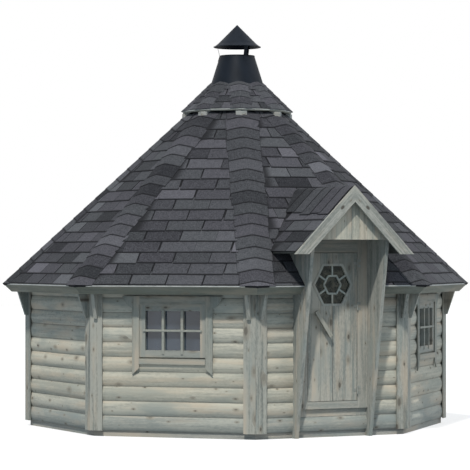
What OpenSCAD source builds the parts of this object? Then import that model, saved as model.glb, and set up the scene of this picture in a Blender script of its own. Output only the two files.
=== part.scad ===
// Octagonal grill cabin: log walls, a shingled eight-sided roof with a raised vent hat,
// a metal smoke stack with a cowl, and a door under a small porch gable on leaning cheeks.
// The origin is on the ground in the middle of the cabin, and the door side faces -Y.
// Wall sections are drawn with the distance from the middle first and the height second.

/* [Plan and base] */
// Length of one side of the base octagon
side = 1850; // [1600:10:2200]
// Height of the base frame
base_h = 66; // [50:1:90]
// Width of a base frame member
base_w = 100; // [80:1:140]
// Thickness of the floor boards
floor_t = 22; // [18:1:30]
// Distance between floor bearers
bearer_step = 1000; // [800:10:1200]
// Width of a floor bearer
bearer_w = 90; // [60:1:120]

/* [Log walls] */
// Height of one log course
log_h = 161; // [140:1:180]
// Number of log courses
log_count = 11; // [10:1:12]
// Thickness of a log from its crest to its flat inside face
log_t = 58; // [50:1:70]
// How far the rounded face of a log stands out from its joint
log_round = 23; // [15:1:30]
// How far the log crests stand out from the base frame
log_proud = 40; // [30:1:45]
// Height of the bevelled wall plate at its outer edge
plate_lip = 25; // [15:1:40]

/* [Corner boards and brackets] */
// Width of a corner board
corner_w = 138; // [110:1:160]
// Thickness of corner boards and window boards
board_t = 16; // [14:1:24]
// Thickness of an eave bracket
bracket_t = 40; // [30:1:50]
// Height of an eave bracket at the wall
bracket_h = 536; // [440:1:620]
// Depth of an eave bracket at its foot
bracket_foot = 30; // [20:1:40]
// Depth of an eave bracket at its head
bracket_head = 156; // [120:1:175]

/* [Roof] */
// Pitch of the roof slopes in degrees
roof_pitch = 45; // [42:1:46]
// Distance of the eave edge from the log crests
eave_out = 252; // [215:1:290]
// Thickness of the roof boards
deck_t = 42; // [30:1:48]
// Depth of the fascia board, square to the slope
fascia_w = 127; // [105:1:140]
// Thickness of the fascia board
fascia_t = 22; // [18:1:28]
// Distance from the middle to the edge of the smoke hole
smoke_a = 420; // [380:1:450]

/* [Vent hat and smoke stack] */
// Distance from the middle to the lower edge of the vent hat
hat_a = 602; // [570:1:640]
// Upright distance between the roof boards and the vent hat
hat_lift = 58; // [45:1:80]
// Thickness of the vent hat boards
hat_t = 24; // [18:1:30]
// Width of a spacer block beside each hip
block_w = 64; // [40:1:80]
// Depth of a spacer block down the slope, measured level
block_d = 90; // [60:1:110]
// Set-back of the spacer blocks behind the edge of the vent hat
block_back = 4; // [2:1:20]
// Radius of the smoke stack at its foot
stack_foot_r = 337; // [310:1:350]
// Radius of the smoke stack at its top
stack_top_r = 203; // [180:1:220]
// Height of the smoke stack
stack_h = 424; // [390:1:460]
// Thickness of the sheet metal
sheet_t = 2; // [2:0.5:4]
// Radius of the cowl at its brim
cowl_r = 274; // [255:1:300]
// Radius of the cowl where brim and cone meet
cowl_break_r = 226; // [205:1:240]
// Upright gap between the stack and the brim of the cowl
cowl_lift = 107; // [90:1:130]
// Rise of the brim
cowl_brim_h = 36; // [25:1:45]
// Rise of the cone above the brim
cowl_cone_h = 226; // [190:1:250]
// Width of a cowl strap
strap_w = 42; // [30:1:50]
// Lap of a strap on the stack
strap_lap = 62; // [45:1:80]

/* [Windows] */
// Half width of the window frame
win_half = 386; // [360:1:410]
// Number of log courses below the window
sill_rows = 5; // [4:1:6]
// Number of log courses beside the window
win_rows = 4; // [3:1:4]
// Width of the side members of the window frame
win_stile = 70; // [60:1:90]
// Height of the bottom member of the window frame
win_rail = 75; // [60:1:90]
// Height of the top member of the window frame
win_head = 141; // [120:1:160]
// Thickness of the glass
glass_t = 4; // [4:1:6]
// Width of a side casing board
casing_w = 80; // [60:1:95]
// How far a casing board runs on below the window frame
casing_drop = 118; // [110:1:150]
// Rise of the slanting cut at the foot of a casing board
casing_cut = 74; // [40:1:80]
// Reach of each end of the head board past the side casing
head_end = 112; // [85:1:130]
// Radius of the rounded ends of the head board
head_round = 200; // [150:1:260]
// Height of the head board above the window frame
head_rise = 20; // [10:1:40]
// Height of the sill board
sill_h = 60; // [45:1:70]
// Drop from the window frame to the sill board
sill_drop = 15; // [5:1:20]
// Depth of the sill board
sill_d = 20; // [16:1:32]

/* [Door] */
// Width of the door leaf
leaf_w = 612; // [570:1:650]
// Height of the door leaf
leaf_h = 1609; // [1560:1:1640]
// Thickness of the door leaf
leaf_t = 40; // [34:1:44]
// How far the door stands out from the log crests
leaf_proud = 10; // [0:1:20]
// Clear gap round the door leaf
leaf_clear = 5; // [5:0.5:8]
// Height of the threshold
thresh_h = 84; // [60:1:100]
// Depth of the threshold
thresh_d = 40; // [34:1:50]
// Height of the bottom rail of the door frame
rail_h = 78; // [60:1:95]
// Height of the head of the door frame
door_head_h = 139; // [110:1:160]
// Width of a door stop
stop_w = 20; // [15:1:30]
// Half width of the door window over its corners
pane_half = 250; // [225:1:265]
// Half height of the door window
pane_rise = 230; // [205:1:245]
// Drop from the top of the leaf to the middle of the door window
pane_drop = 346; // [310:1:400]
// Width of the door window's frame
pane_frame = 25; // [18:1:32]
// How far that frame stands out on each side of the leaf
pane_proud = 6; // [3:1:10]
// Length of the wooden door handle
handle_len = 328; // [280:1:380]
// Slant of the handle from upright in degrees
handle_slant = 34; // [25:1:45]
// Width of the handle bar
handle_w = 42; // [34:1:50]
// Thickness of the handle bar
handle_t = 28; // [22:1:34]
// Stand-off of the handle from the leaf
handle_off = 34; // [26:1:45]
// Radius of a handle post
post_r = 13; // [10:1:16]
// Radius of a hinge knuckle
knuckle_r = 8; // [7:0.5:10]
// Radius of a hinge pin
pin_r = 4; // [3:0.5:5]
// Running clearance of the pin in its knuckle
pin_clear = 0.1; // [0.05:0.05:0.3]
// Height of a hinge
hinge_h = 90; // [70:1:110]
// Width of a hinge flap
flap_w = 42; // [30:1:55]
// Thickness of a hinge flap
flap_t = 3; // [2:0.5:4]

/* [Porch] */
// Clear half width between the porch cheeks
cheek_in = 438; // [415:1:460]
// Thickness of a porch cheek
cheek_t = 40; // [32:1:50]
// How far the foot of a cheek stands out from the log crests
cheek_foot = 46; // [30:1:90]
// Pitch of the porch roof in degrees
porch_pitch = 45; // [42:1:48]
// Height of the cheek's outer top corner above the porch ceiling
cheek_rise = 53; // [40:1:80]
// Thickness of the porch roof boards
porch_deck_t = 24; // [18:1:30]
// Half span of the porch roof
porch_half = 734; // [700:1:770]
// How far the porch roof boards stop short of the feet of the barge boards
porch_short = 54; // [30:1:70]
// How far the barge boards stand out from the log crests
barge_out = 505; // [470:1:540]
// Width of a barge board
barge_w = 122; // [100:1:140]
// Thickness of a barge board
barge_t = 22; // [18:1:28]
// How far the barge boards rise above the porch roof boards
barge_lip = 12; // [6:1:18]
// Thickness of the porch ceiling boards
ceiling_t = 18; // [14:1:24]
// Set-back of the gable boards behind the barge boards
gable_back = 55; // [40:1:75]
// Thickness of the gable boards
gable_t = 20; // [16:1:26]

/* [Fits] */
// Gap between pieces that are fixed together
fit_gap = 0.4; // [0.2:0.1:0.6]

/* [Hidden] */
wood_log = [0.60, 0.59, 0.55];
wood_board = [0.57, 0.58, 0.55];
wood_floor = [0.62, 0.56, 0.47];
shingle = [0.20, 0.20, 0.22];
metal_dark = [0.10, 0.11, 0.13];
steel = [0.45, 0.46, 0.47];
glass_grey = [0.22, 0.24, 0.25];
$fn = 96;

walls = 8;
turn = 360 / walls;
half_turn = turn / 2;
far = 6000;
lid = 200;

// Distances from the middle
base_a = side / 2 / tan(half_turn);
crest_a = base_a + log_proud;
inner_a = crest_a - log_t;
groove_a = crest_a - log_round;
face_a = crest_a + fit_gap;
board_a = face_a + board_t;
eave_a = crest_a + eave_out;
log_r = (log_h * log_h / 4 + log_round * log_round) / (2 * log_round);

// Roof planes, as heights over the middle
wall_top = base_h + log_count * log_h;
slope = tan(roof_pitch);
under_0 = wall_top + plate_lip + groove_a * slope;
top_0 = under_0 + deck_t / cos(roof_pitch);
hat_under_0 = top_0 + hat_lift;
hat_top_0 = hat_under_0 + hat_t / cos(roof_pitch);
function under(a) = under_0 - a * slope;
function top(a) = top_0 - a * slope;
function on_slope(s, d) = [
    eave_a - s * cos(roof_pitch) - d * sin(roof_pitch),
    top(eave_a) + s * sin(roof_pitch) - d * cos(roof_pitch)
];
function on_hat(s, d) = [
    hat_a - s * cos(roof_pitch) - d * sin(roof_pitch),
    hat_top_0 - hat_a * slope + s * sin(roof_pitch) - d * cos(roof_pitch)
];
corner_x = board_a * tan(half_turn);
bracket_x = corner_x - corner_w / 2;
block_a = hat_a - block_d - block_back;

// Smoke stack and cowl
stack_z = hat_under_0 - stack_foot_r * slope;
stack_top_z = stack_z + stack_h;
function stack_r(z) = stack_foot_r + (stack_top_r - stack_foot_r) * (z - stack_z) / stack_h;
cowl_z = stack_top_z + cowl_lift;
cowl_sheet = sheet_t * sqrt(2);
strap_count = 3;
strap_top_r = (cowl_r + stack_top_r) / 2;
strap_turn = 3;

// Windows
win_z0 = base_h + sill_rows * log_h;
win_z1 = win_z0 + win_rows * log_h;
glass_half = win_half - win_stile;
glass_z0 = win_z0 + win_rail;
glass_z1 = win_z1 - win_head;
casing_in = win_half - board_t * 0.3;
casing_out = casing_in + casing_w;
head_z = glass_z1 + win_head * 0.49;
head_low = head_z - casing_w * 0.5;
head_h = win_z1 + head_rise - head_low;
sash_set = 0.2;

// Middle of the circle through both corners of a head board's rounded end
head_chord = sqrt(head_end * head_end + head_h * head_h);
head_sink = sqrt(head_round * head_round - head_chord * head_chord / 4);
head_mid = [
    head_end / 2 - head_sink * head_h / head_chord, head_h / 2 + head_sink * head_end / head_chord
];

// Door
frame_z = base_h + log_h + thresh_h;
leaf_z = frame_z + rail_h + leaf_clear;
leaf_top = leaf_z + leaf_h;
ceil_z = leaf_top + leaf_clear + door_head_h;
leaf_half = leaf_w / 2;
jamb_x = leaf_half + leaf_clear;
leaf_a = crest_a + leaf_proud;
pin_x = leaf_half + leaf_clear / 2;
pin_a = leaf_a + fit_gap + knuckle_r;
hinge_places = [0.07, 0.64, 0.93];
knuckle_share = 3;
handle_x = -leaf_half * 0.455;
handle_z = leaf_z + leaf_h * 0.523;
glass_set = 0.5;

// Porch
cheek_x = cheek_in + cheek_t;
porch_slope = tan(porch_pitch);
porch_under_0 = ceil_z + cheek_rise + cheek_x * porch_slope;
porch_top_0 = porch_under_0 + porch_deck_t / cos(porch_pitch);
barge_top_0 = porch_top_0 + barge_lip;
barge_in_0 = barge_top_0 - barge_w / cos(porch_pitch);
barge_low = barge_top_0 - porch_half * porch_slope;
porch_eave = porch_half - porch_short;
barge_a = crest_a + barge_out;
barge_back = barge_a - barge_t;
gable_a = barge_back - gable_back;
cheek_top_z = porch_under_0 - cheek_in * porch_slope;
notch_a = (top_0 - ceil_z - ceiling_t) / slope;

// A section of distance and height, drawn out along a wall
module run(len) rotate([90, 0, -90]) linear_extrude(len, center = true) children();

// A section of width and height, drawn out from the middle between two distances
module reach(a0, a1) rotate([90, 0, 0]) translate([0, 0, a0]) linear_extrude(a1 - a0) children();

// The wedge of plan that belongs to one wall, drawn in by a margin at both mitres
module sector(margin)
    translate([0, -margin / sin(half_turn), -lid]) linear_extrude(far)
        polygon([[0, 0], [far * tan(half_turn), -far], [-far * tan(half_turn), -far]]);

module mitred() intersection() {
    children();
    sector(fit_gap / 2);
}

module at_wall(i) rotate([0, 0, i * turn]) children();

module both_sides() for (s = [0, 1]) mirror([s, 0, 0]) children();

// A box given by its limits across, outward and upward
module slab(x0, x1, a0, a1, z0, z1)
    translate([x0, -a1, z0]) cube([x1 - x0, a1 - a0, z1 - z0]);

module log_section(row) intersection() {
    translate([crest_a - log_r, base_h + (row + 0.5) * log_h]) circle(r = log_r, $fn = 360);
    translate([inner_a, base_h + row * log_h + fit_gap / 2]) square([log_t, log_h - fit_gap]);
}

module log(row, x0, x1) mitred()
    translate([(x0 + x1) / 2, 0, 0]) run(x1 - x0) log_section(row);

module plain_wall() for (row = [0 : log_count - 1]) log(row, -far / 2, far / 2);

module window_wall() for (row = [0 : log_count - 1])
    if (row >= sill_rows && row < sill_rows + win_rows)
        both_sides() log(row, win_half + fit_gap, far / 2);
    else
        log(row, -far / 2, far / 2);

module base_frame() color(wood_board) for (i = [0 : walls - 1]) at_wall(i)
    mitred() slab(-far / 2, far / 2, base_a - base_w, base_a, 0, base_h);

module octagon(a, z0, z1) rotate([0, 0, half_turn])
    translate([0, 0, z0]) cylinder(r = a / cos(half_turn), h = z1 - z0, $fn = walls);

module floor_bearers() color(wood_board) for (k = [-1 : 1]) intersection() {
    translate([0, k * bearer_step, 0]) slab(-far, far, -bearer_w / 2, bearer_w / 2, 0, base_h);
    octagon(base_a - base_w - fit_gap, 0, base_h);
}

module floor_deck() color(wood_floor)
    octagon(inner_a - fit_gap, base_h + fit_gap, base_h + floor_t);

module front_wall_side() for (row = [0 : log_count - 1]) log(row, cheek_x + fit_gap, far / 2);
module front_wall_right() color(wood_log) front_wall_side();
module front_wall_left() color(wood_log) mirror([1, 0, 0]) front_wall_side();
module front_wall_sill() color(wood_log) log(0, fit_gap - cheek_in, cheek_in - fit_gap);
module wall_front_right() color(wood_log) at_wall(1) window_wall();
module wall_right() color(wood_log) at_wall(2) plain_wall();
module wall_back_right() color(wood_log) at_wall(3) plain_wall();
module wall_back() color(wood_log) at_wall(4) plain_wall();
module wall_back_left() color(wood_log) at_wall(5) plain_wall();
module wall_left() color(wood_log) at_wall(6) plain_wall();
module wall_front_left() color(wood_log) at_wall(7) window_wall();

module plate_section() polygon([
    [inner_a, wall_top + fit_gap], [groove_a, wall_top + fit_gap],
    [groove_a, under(groove_a) - fit_gap], [inner_a, under(inner_a) - fit_gap]
]);

module wall_plates() color(wood_board) {
    for (i = [1 : walls - 1]) at_wall(i) mitred() run(far) plate_section();
    both_sides() mitred() translate([cheek_x + fit_gap + far / 2, 0, 0]) run(far) plate_section();
}

module corner_boards() color(wood_board) for (i = [0 : walls - 1]) at_wall(i) both_sides() mitred()
    slab(corner_x - corner_w, corner_x + corner_w, face_a, board_a,
        base_h - fit_gap * 10, under(board_a) - fit_gap);

module fascia_zone(grow) polygon([
    on_slope(-grow - lid, 0), on_slope(-grow - lid, fascia_w + grow),
    on_slope(fascia_t + grow, fascia_w + grow), on_slope(fascia_t + grow, 0)
]);

module bracket_section() {
    a0 = board_a + fit_gap;
    difference() {
        polygon([
            [a0, under(a0) - bracket_h], [a0 + bracket_foot, under(a0) - bracket_h],
            [a0 + bracket_head, under(a0 + bracket_head) - fit_gap], [a0, under(a0) - fit_gap]
        ]);
        fascia_zone(fit_gap);
    }
}

module eave_brackets() color(wood_board) for (i = [0 : walls - 1]) at_wall(i) both_sides()
    translate([bracket_x, 0, 0]) run(bracket_t) bracket_section();

module window_frame() {
    both_sides() slab(glass_half, win_half, inner_a, crest_a, win_z0 + fit_gap, win_z1 - fit_gap);
    slab(fit_gap - glass_half, glass_half - fit_gap, inner_a, crest_a, win_z0 + fit_gap, glass_z0);
    slab(fit_gap - glass_half, glass_half - fit_gap, inner_a, crest_a, glass_z1, win_z1 - fit_gap);
}

module window_glass() {
    a = inner_a + log_t * sash_set;
    slab(fit_gap - glass_half, glass_half - fit_gap, a, a + glass_t, glass_z0 + fit_gap, glass_z1 - fit_gap);
}

module head_end_outline() intersection() {
    translate([-casing_w, 0]) square([casing_w + head_end, head_h]);
    translate(head_mid) circle(r = head_round);
}

module head_outline() difference() {
    union() {
        translate([-casing_out, head_low]) square([2 * casing_out, head_h]);
        both_sides() translate([casing_out, head_low]) head_end_outline();
    }
    translate([-casing_in, head_low - lid]) square([2 * casing_in, head_z - head_low + lid]);
}

module window_trim() {
    both_sides() reach(face_a, board_a) polygon([
        [casing_in, win_z0 - casing_drop], [casing_out, win_z0 - casing_drop - casing_cut],
        [casing_out, head_low - fit_gap], [casing_in, head_low - fit_gap]
    ]);
    reach(face_a, board_a) head_outline();
    slab(fit_gap - casing_in, casing_in - fit_gap, face_a, face_a + sill_d,
        win_z0 - sill_drop - sill_h, win_z0 - sill_drop);
}

module window_frame_left() color(wood_board) at_wall(7) window_frame();
module window_glass_left() color(glass_grey) at_wall(7) window_glass();
module window_trim_left() color(wood_board) at_wall(7) window_trim();
module window_frame_right() color(wood_board) at_wall(1) window_frame();
module window_glass_right() color(glass_grey) at_wall(1) window_glass();
module window_trim_right() color(wood_board) at_wall(1) window_trim();

module door_frame() color(wood_board) {
    both_sides() {
        slab(jamb_x, cheek_in - fit_gap, inner_a, leaf_a, frame_z, ceil_z - fit_gap);
        slab(jamb_x - stop_w, jamb_x - fit_gap, inner_a, leaf_a - leaf_t - leaf_clear,
            leaf_z - leaf_clear, leaf_top + leaf_clear);
    }
    slab(fit_gap - jamb_x, jamb_x - fit_gap, inner_a, leaf_a, frame_z, frame_z + rail_h - fit_gap);
    slab(fit_gap - jamb_x, jamb_x - fit_gap, inner_a, leaf_a,
        leaf_top + leaf_clear + fit_gap, ceil_z - fit_gap);
}

module threshold() color(wood_board)
    slab(fit_gap - cheek_in, cheek_in - fit_gap, inner_a, inner_a + thresh_d,
        base_h + log_h + fit_gap, frame_z - fit_gap);

module pane_outline(inset) {
    w = pane_half - inset / sin(60);
    h = pane_rise - inset;
    polygon([[w, 0], [w / 2, h], [-w / 2, h], [-w, 0], [-w / 2, -h], [w / 2, -h]]);
}

module at_pane() translate([0, 0, leaf_top - pane_drop]) children();

module door_leaf() color(wood_board) difference() {
    slab(-leaf_half, leaf_half, leaf_a - leaf_t, leaf_a, leaf_z, leaf_top);
    at_pane() reach(leaf_a - lid, leaf_a + lid) pane_outline(0);
}

module door_window_frame() color(wood_board)
    at_pane() reach(leaf_a - leaf_t - pane_proud / 2, leaf_a + pane_proud) difference() {
        pane_outline(fit_gap);
        pane_outline(pane_frame);
    }

module door_window_glass() color(glass_grey) {
    a = leaf_a - leaf_t * glass_set;
    at_pane() reach(a - glass_t / 2, a + glass_t / 2) pane_outline(pane_frame + fit_gap);
}

module door_handle() color(wood_board)
    translate([handle_x, -leaf_a - fit_gap, handle_z]) rotate([0, -handle_slant, 0]) {
        translate([-handle_w / 2, -handle_off - handle_t, -handle_len / 2])
            cube([handle_w, handle_t, handle_len]);
        for (s = [-1, 1]) translate([0, 0, s * handle_len * 0.36])
            rotate([90, 0, 0]) cylinder(r = post_r, h = handle_off + handle_t / 2);
    }

// Height of one knuckle, three to a hinge
knuckle_h = hinge_h / knuckle_share;

module at_hinges() for (p = hinge_places)
    translate([pin_x, -pin_a, leaf_z + leaf_h * p - hinge_h / 2]) children();

module frame_hinges() color(steel) at_hinges() {
    for (k = [0, 2]) translate([0, 0, k * knuckle_h]) {
        cylinder(r = knuckle_r, h = knuckle_h - fit_gap);
        translate([0, knuckle_r - flap_t, 0]) cube([flap_w, flap_t, knuckle_h - fit_gap]);
    }
    cylinder(r = pin_r, h = hinge_h - fit_gap);
}

module door_hinges() color(steel) at_hinges() difference() {
    union() {
        translate([0, 0, knuckle_h]) cylinder(r = knuckle_r, h = knuckle_h - fit_gap);
        translate([-flap_w, knuckle_r - flap_t, knuckle_h]) cube([flap_w, flap_t, knuckle_h - fit_gap]);
    }
    cylinder(r = pin_r + pin_clear, h = hinge_h);
}

module porch_inside(drop) polygon([
    [0, porch_under_0 - drop], [far, porch_under_0 - drop - far * porch_slope],
    [-far, porch_under_0 - drop - far * porch_slope]
]);

module cheek_section() {
    b = base_a + fit_gap;
    n = notch_a + fit_gap;
    lift = fit_gap / cos(roof_pitch);
    polygon([
        [b, 0], [crest_a + cheek_foot, 0], [gable_a, cheek_top_z],
        [(top_0 + lift - cheek_top_z) / slope, cheek_top_z],
        [n, top(n) + lift], [n, under(n)], [b, under(b)]
    ]);
}

module porch_cheeks() color(wood_board) both_sides() intersection() {
    translate([(cheek_in + cheek_x) / 2, 0, 0]) run(cheek_t) cheek_section();
    reach(0, far) porch_inside(fit_gap);
}

module porch_ceiling() color(wood_board)
    slab(fit_gap - cheek_in, cheek_in - fit_gap, notch_a + fit_gap, gable_a - gable_t - fit_gap,
        ceil_z, ceil_z + ceiling_t);

module porch_gable() color(wood_board) intersection() {
    slab(fit_gap - cheek_in, cheek_in - fit_gap, gable_a - gable_t, gable_a, ceil_z, far);
    reach(0, far) porch_inside(fit_gap);
}

module barge_boards() color(wood_board) both_sides() reach(barge_back, barge_a) polygon([
    [fit_gap / 2, barge_top_0 - fit_gap / 2 * porch_slope], [porch_half, barge_low],
    [(barge_in_0 - barge_low) / porch_slope, barge_low],
    [fit_gap / 2, barge_in_0 - fit_gap / 2 * porch_slope]
]);

module roof_body(drop) run(far) polygon([
    [0, -lid], [0, top_0 + drop], [eave_a, top(eave_a) + drop], [eave_a, -lid]
]);

module porch_roof() color(shingle) both_sides() difference() {
    reach(0, barge_back - fit_gap) polygon([
        [fit_gap / 2, porch_under_0], [fit_gap / 2, porch_top_0],
        [porch_eave, porch_top_0 - porch_eave * porch_slope],
        [porch_eave, porch_under_0 - porch_eave * porch_slope]
    ]);
    roof_body(fit_gap / cos(roof_pitch));
}

module deck_section() polygon([
    on_slope(fascia_t + fit_gap, 0), on_slope(fascia_t + fit_gap, deck_t),
    [smoke_a, under(smoke_a)], [smoke_a, top(smoke_a)]
]);

module roof_front() color(shingle) {
    both_sides() mitred() translate([cheek_x + fit_gap + far / 2, 0, 0]) run(far) deck_section();
    mitred() intersection() {
        run(2 * cheek_x) deck_section();
        slab(-cheek_x, cheek_x, 0, notch_a, 0, far);
    }
}

module roof_slopes() color(shingle)
    for (i = [1 : walls - 1]) at_wall(i) mitred() run(far) deck_section();

module fascia_section() polygon([
    on_slope(0, 0), on_slope(0, fascia_w), on_slope(fascia_t, fascia_w), on_slope(fascia_t, 0)
]);

module fascia_boards() color(wood_board) {
    for (i = [1 : walls - 1]) at_wall(i) mitred() run(far) fascia_section();
    both_sides() mitred() translate([cheek_x + fit_gap + far / 2, 0, 0]) run(far) fascia_section();
}

module block_section() polygon([
    [block_a, top(block_a) + fit_gap], [block_a + block_d, top(block_a + block_d) + fit_gap],
    [block_a + block_d, hat_under_0 - (block_a + block_d) * slope - fit_gap],
    [block_a, hat_under_0 - block_a * slope - fit_gap]
]);

module hat_blocks() color(wood_board) for (i = [0 : walls - 1]) at_wall(i) difference() {
    mitred() run(far) block_section();
    sector(block_w);
}

module hat_section() polygon([
    on_hat(0, 0), on_hat(0, hat_t), [lid / 2, hat_under_0 - lid / 2 * slope],
    [lid / 2, hat_top_0 - lid / 2 * slope]
]);

module vent_hat() color(shingle) difference() {
    for (i = [0 : walls - 1]) at_wall(i) mitred() run(far) hat_section();
    translate([0, 0, stack_z - stack_h]) cylinder(
        r1 = stack_r(stack_z - stack_h) + fit_gap, r2 = stack_top_r + fit_gap, h = 2 * stack_h);
}

module chimney_stack() color(metal_dark) rotate_extrude() polygon([
    [stack_foot_r, stack_z], [stack_top_r, stack_top_z],
    [stack_top_r - sheet_t, stack_top_z], [stack_foot_r - sheet_t, stack_z]
]);

// The underside of the cowl, given as points from the middle outward
function cowl_line(drop) = [
    [0, cowl_z + cowl_brim_h + cowl_cone_h - drop],
    [cowl_break_r, cowl_z + cowl_brim_h - drop], [cowl_r, cowl_z - drop]
];

module chimney_cowl() color(metal_dark) rotate_extrude()
    polygon(concat(cowl_line(0), [for (k = [2 : -1 : 0]) cowl_line(cowl_sheet)[k]]));

module strap_section() {
    z0 = stack_top_z - strap_lap;
    r0 = stack_r(z0) + fit_gap;
    r1 = stack_top_r + fit_gap;
    polygon([
        [r0, z0], [r1, stack_top_z], [strap_top_r, cowl_z + cowl_brim_h],
        [strap_top_r + strap_turn, cowl_z + cowl_brim_h], [r1 + strap_turn, stack_top_z], [r0 + strap_turn, z0]
    ]);
}

module cowl_straps() color(metal_dark) difference() {
    for (k = [0 : strap_count - 1]) rotate([0, 0, k * 360 / strap_count]) run(strap_w) strap_section();
    rotate_extrude() polygon(concat(cowl_line(cowl_sheet + fit_gap), [
        [cowl_r, cowl_z + stack_h], [0, cowl_z + stack_h]
    ]));
}

base_frame();
floor_bearers();
floor_deck();
front_wall_left();
front_wall_right();
front_wall_sill();
wall_front_right();
wall_right();
wall_back_right();
wall_back();
wall_back_left();
wall_left();
wall_front_left();
wall_plates();
corner_boards();
eave_brackets();
window_frame_left();
window_glass_left();
window_trim_left();
window_frame_right();
window_glass_right();
window_trim_right();
door_frame();
threshold();
frame_hinges();
door_leaf();
door_window_frame();
door_window_glass();
door_handle();
door_hinges();
porch_cheeks();
porch_ceiling();
porch_gable();
barge_boards();
porch_roof();
roof_front();
roof_slopes();
fascia_boards();
hat_blocks();
vent_hat();
chimney_stack();
cowl_straps();
chimney_cowl();
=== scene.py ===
"""An octagonal grill cabin: weathered log walls, felt shingles, a vent hat, a smoke stack and a plank door.

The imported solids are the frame. Each section below dresses one group of pieces, from the ground up.
Wall places are given as seen from outside: x along the wall to the right, a outward from the middle, z up.
"""

import bmesh
import bpy
import numpy as np
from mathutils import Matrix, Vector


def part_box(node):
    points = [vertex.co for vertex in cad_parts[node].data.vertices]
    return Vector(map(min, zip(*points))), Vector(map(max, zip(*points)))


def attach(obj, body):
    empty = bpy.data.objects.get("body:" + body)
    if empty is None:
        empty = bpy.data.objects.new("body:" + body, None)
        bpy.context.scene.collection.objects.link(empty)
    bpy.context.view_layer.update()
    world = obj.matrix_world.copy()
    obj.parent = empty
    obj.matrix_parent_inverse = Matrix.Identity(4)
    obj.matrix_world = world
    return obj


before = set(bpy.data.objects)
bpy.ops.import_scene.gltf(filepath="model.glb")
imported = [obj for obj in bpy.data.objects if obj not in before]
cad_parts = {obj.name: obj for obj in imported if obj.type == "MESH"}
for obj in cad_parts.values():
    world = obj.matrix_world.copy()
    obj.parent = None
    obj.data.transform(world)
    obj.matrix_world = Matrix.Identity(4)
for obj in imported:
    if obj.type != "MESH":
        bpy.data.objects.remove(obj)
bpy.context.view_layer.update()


# Base frame, floor and wall plates
# A ring of sawn pine lies on the ground with three bearers across it, and carries the floor boards
# and the log walls. All the wood outside has the same thin grey green stain, worn unevenly by weather.

class Socket:
    """A socket of a material's nodes that can be used in sums: each operator adds one Math node."""

    def __init__(self, tree, out=None):
        self.tree = tree
        self.out = out

    def node(self, kind, settings, inputs, *outputs):
        """Adds a node: its settings first, then a value or a link for each named or numbered input.
        Gives its first output, or the outputs that are named."""
        made = self.tree.nodes.new("ShaderNode" + kind)
        for key, value in settings.items():
            setattr(made, key, value)
        for key, value in inputs.items():
            if isinstance(value, Socket):
                self.tree.links.new(value.out, made.inputs[key])
            else:
                made.inputs[key].default_value = value
        found = [Socket(self.tree, made.outputs[key]) for key in outputs or (0,)]
        return found[0] if len(found) == 1 else found

    def math(self, operation, first, second=0.0):
        return self.node("Math", {"operation": operation}, {0: first, 1: second})

    def __add__(self, other):
        return self.math("ADD", self, other)

    def __radd__(self, other):
        return self.math("ADD", other, self)

    def __sub__(self, other):
        return self.math("SUBTRACT", self, other)

    def __rsub__(self, other):
        return self.math("SUBTRACT", other, self)

    def __mul__(self, other):
        return self.math("MULTIPLY", self, other)

    def __rmul__(self, other):
        return self.math("MULTIPLY", other, self)

    def __truediv__(self, other):
        return self.math("DIVIDE", self, other)

    def __gt__(self, other):
        return self.math("GREATER_THAN", self, other)

    def __lt__(self, other):
        return self.math("LESS_THAN", self, other)

    def __abs__(self):
        return self.math("ABSOLUTE", self)

    def rise(self, start, end):
        """Goes smoothly from 0 at start to 1 at end."""
        ends = {"Value": self, "From Min": start, "From Max": end, "To Min": 0.0, "To Max": 1.0}
        return self.node("MapRange", {"interpolation_type": "SMOOTHSTEP"}, ends)

    def blend(self, first, second):
        """Two colours mixed by this factor."""
        return self.node("Mix", {"data_type": "RGBA"}, {0: self, 6: first, 7: second}, 2)

    def vector(self, x, y, z):
        return self.node("CombineXYZ", {}, {0: x, 1: y, 2: z})

    def noise(self, detail=3.0, rough=0.55):
        """Cloudy noise of this vector, around 0.5."""
        inputs = {"Vector": self, "Scale": 1.0, "Detail": detail, "Roughness": rough}
        return self.node("TexNoise", {}, inputs)

    def feed(self, shader, name):
        self.tree.links.new(self.out, shader.inputs[name])


def tint(red, green, blue):
    """A colour on the usual 0 to 255 scale, as the linear values that a shader takes."""
    part = np.array([red, green, blue]) / 255
    linear = np.where(part > 0.04045, ((part + 0.055) / 1.055) ** 2.4, part / 12.92)
    return (*linear, 1.0)


def finish(name):
    """A new material with its shader and its Object coordinates."""
    material = bpy.data.materials.new(name)
    material.use_nodes = True
    shader = material.node_tree.nodes["Principled BSDF"]
    place = Socket(material.node_tree).node("TexCoord", {}, {}, "Object")
    return material, shader, place


WALL_TURN = np.pi / 4


def wall_place(place):
    """Turns a point to the front wall: the angle round the middle, rounded to whole walls, is taken
    off. Gives x along the wall, y, z up and the number of the wall."""
    x, y, z = place.node("SeparateXYZ", {}, {0: place}, 0, 1, 2)
    turn = place.math("ROUND", place.math("ARCTAN2", x, -1.0 * y) / WALL_TURN)
    spin = {"Vector": place, "Angle": turn * -WALL_TURN}
    turned = place.node("VectorRotate", {"rotation_type": "Z_AXIS"}, spin)
    return (*place.node("SeparateXYZ", {}, {0: turned}, 0, 1, 2), turn)


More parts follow.
